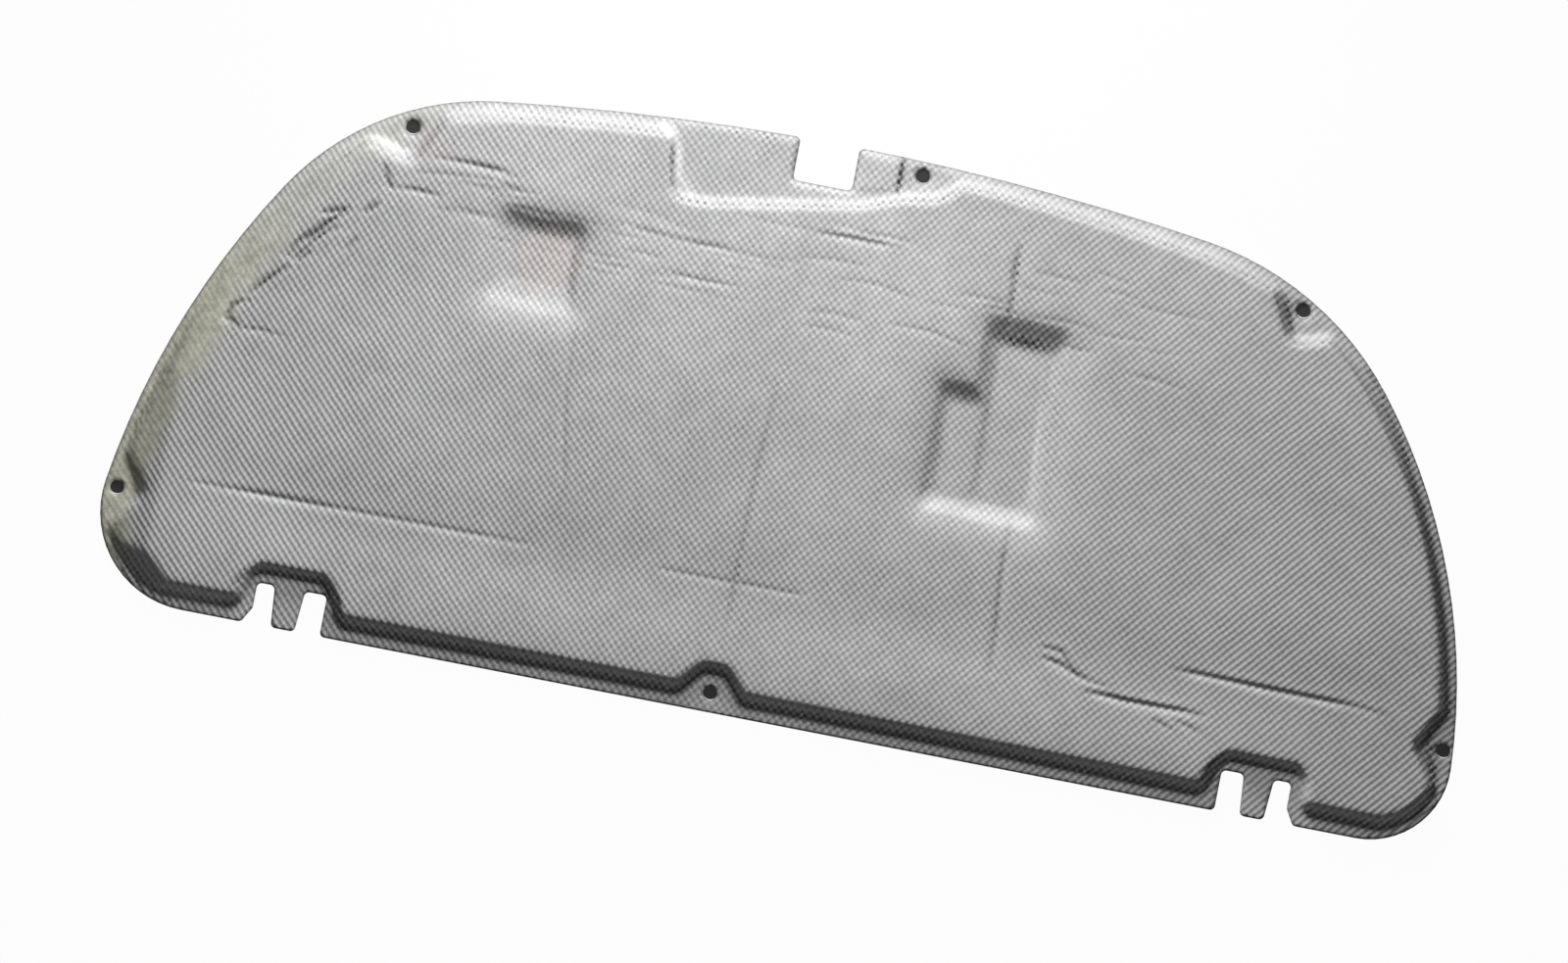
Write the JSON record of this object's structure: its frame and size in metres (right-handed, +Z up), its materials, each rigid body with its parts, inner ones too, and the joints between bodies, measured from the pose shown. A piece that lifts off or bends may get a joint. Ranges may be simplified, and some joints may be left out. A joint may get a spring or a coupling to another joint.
{
  "type": "hood insulation pad",
  "caption": "Moulded felt pad that lines the underside of a vehicle's hood: a flat clip rim, a raised field with drawn-in pockets, and slots at the rear edge.",
  "frame": {"origin": "middle of the bounding box of the flat back, on the surface that it lies on", "axes": "+X along the long side, +Y towards the arched front edge, +Z up out of the face that points at the engine"},
  "size_m": [1.2039, 0.5099, 0.018],
  "materials": {
    "facing": "silver-grey woven facing over moulded felt, wrinkled and slightly soiled"
  },
  "bodies": {
    "root": {"insulation_pad": "facing"}
  },
  "joints": []
}
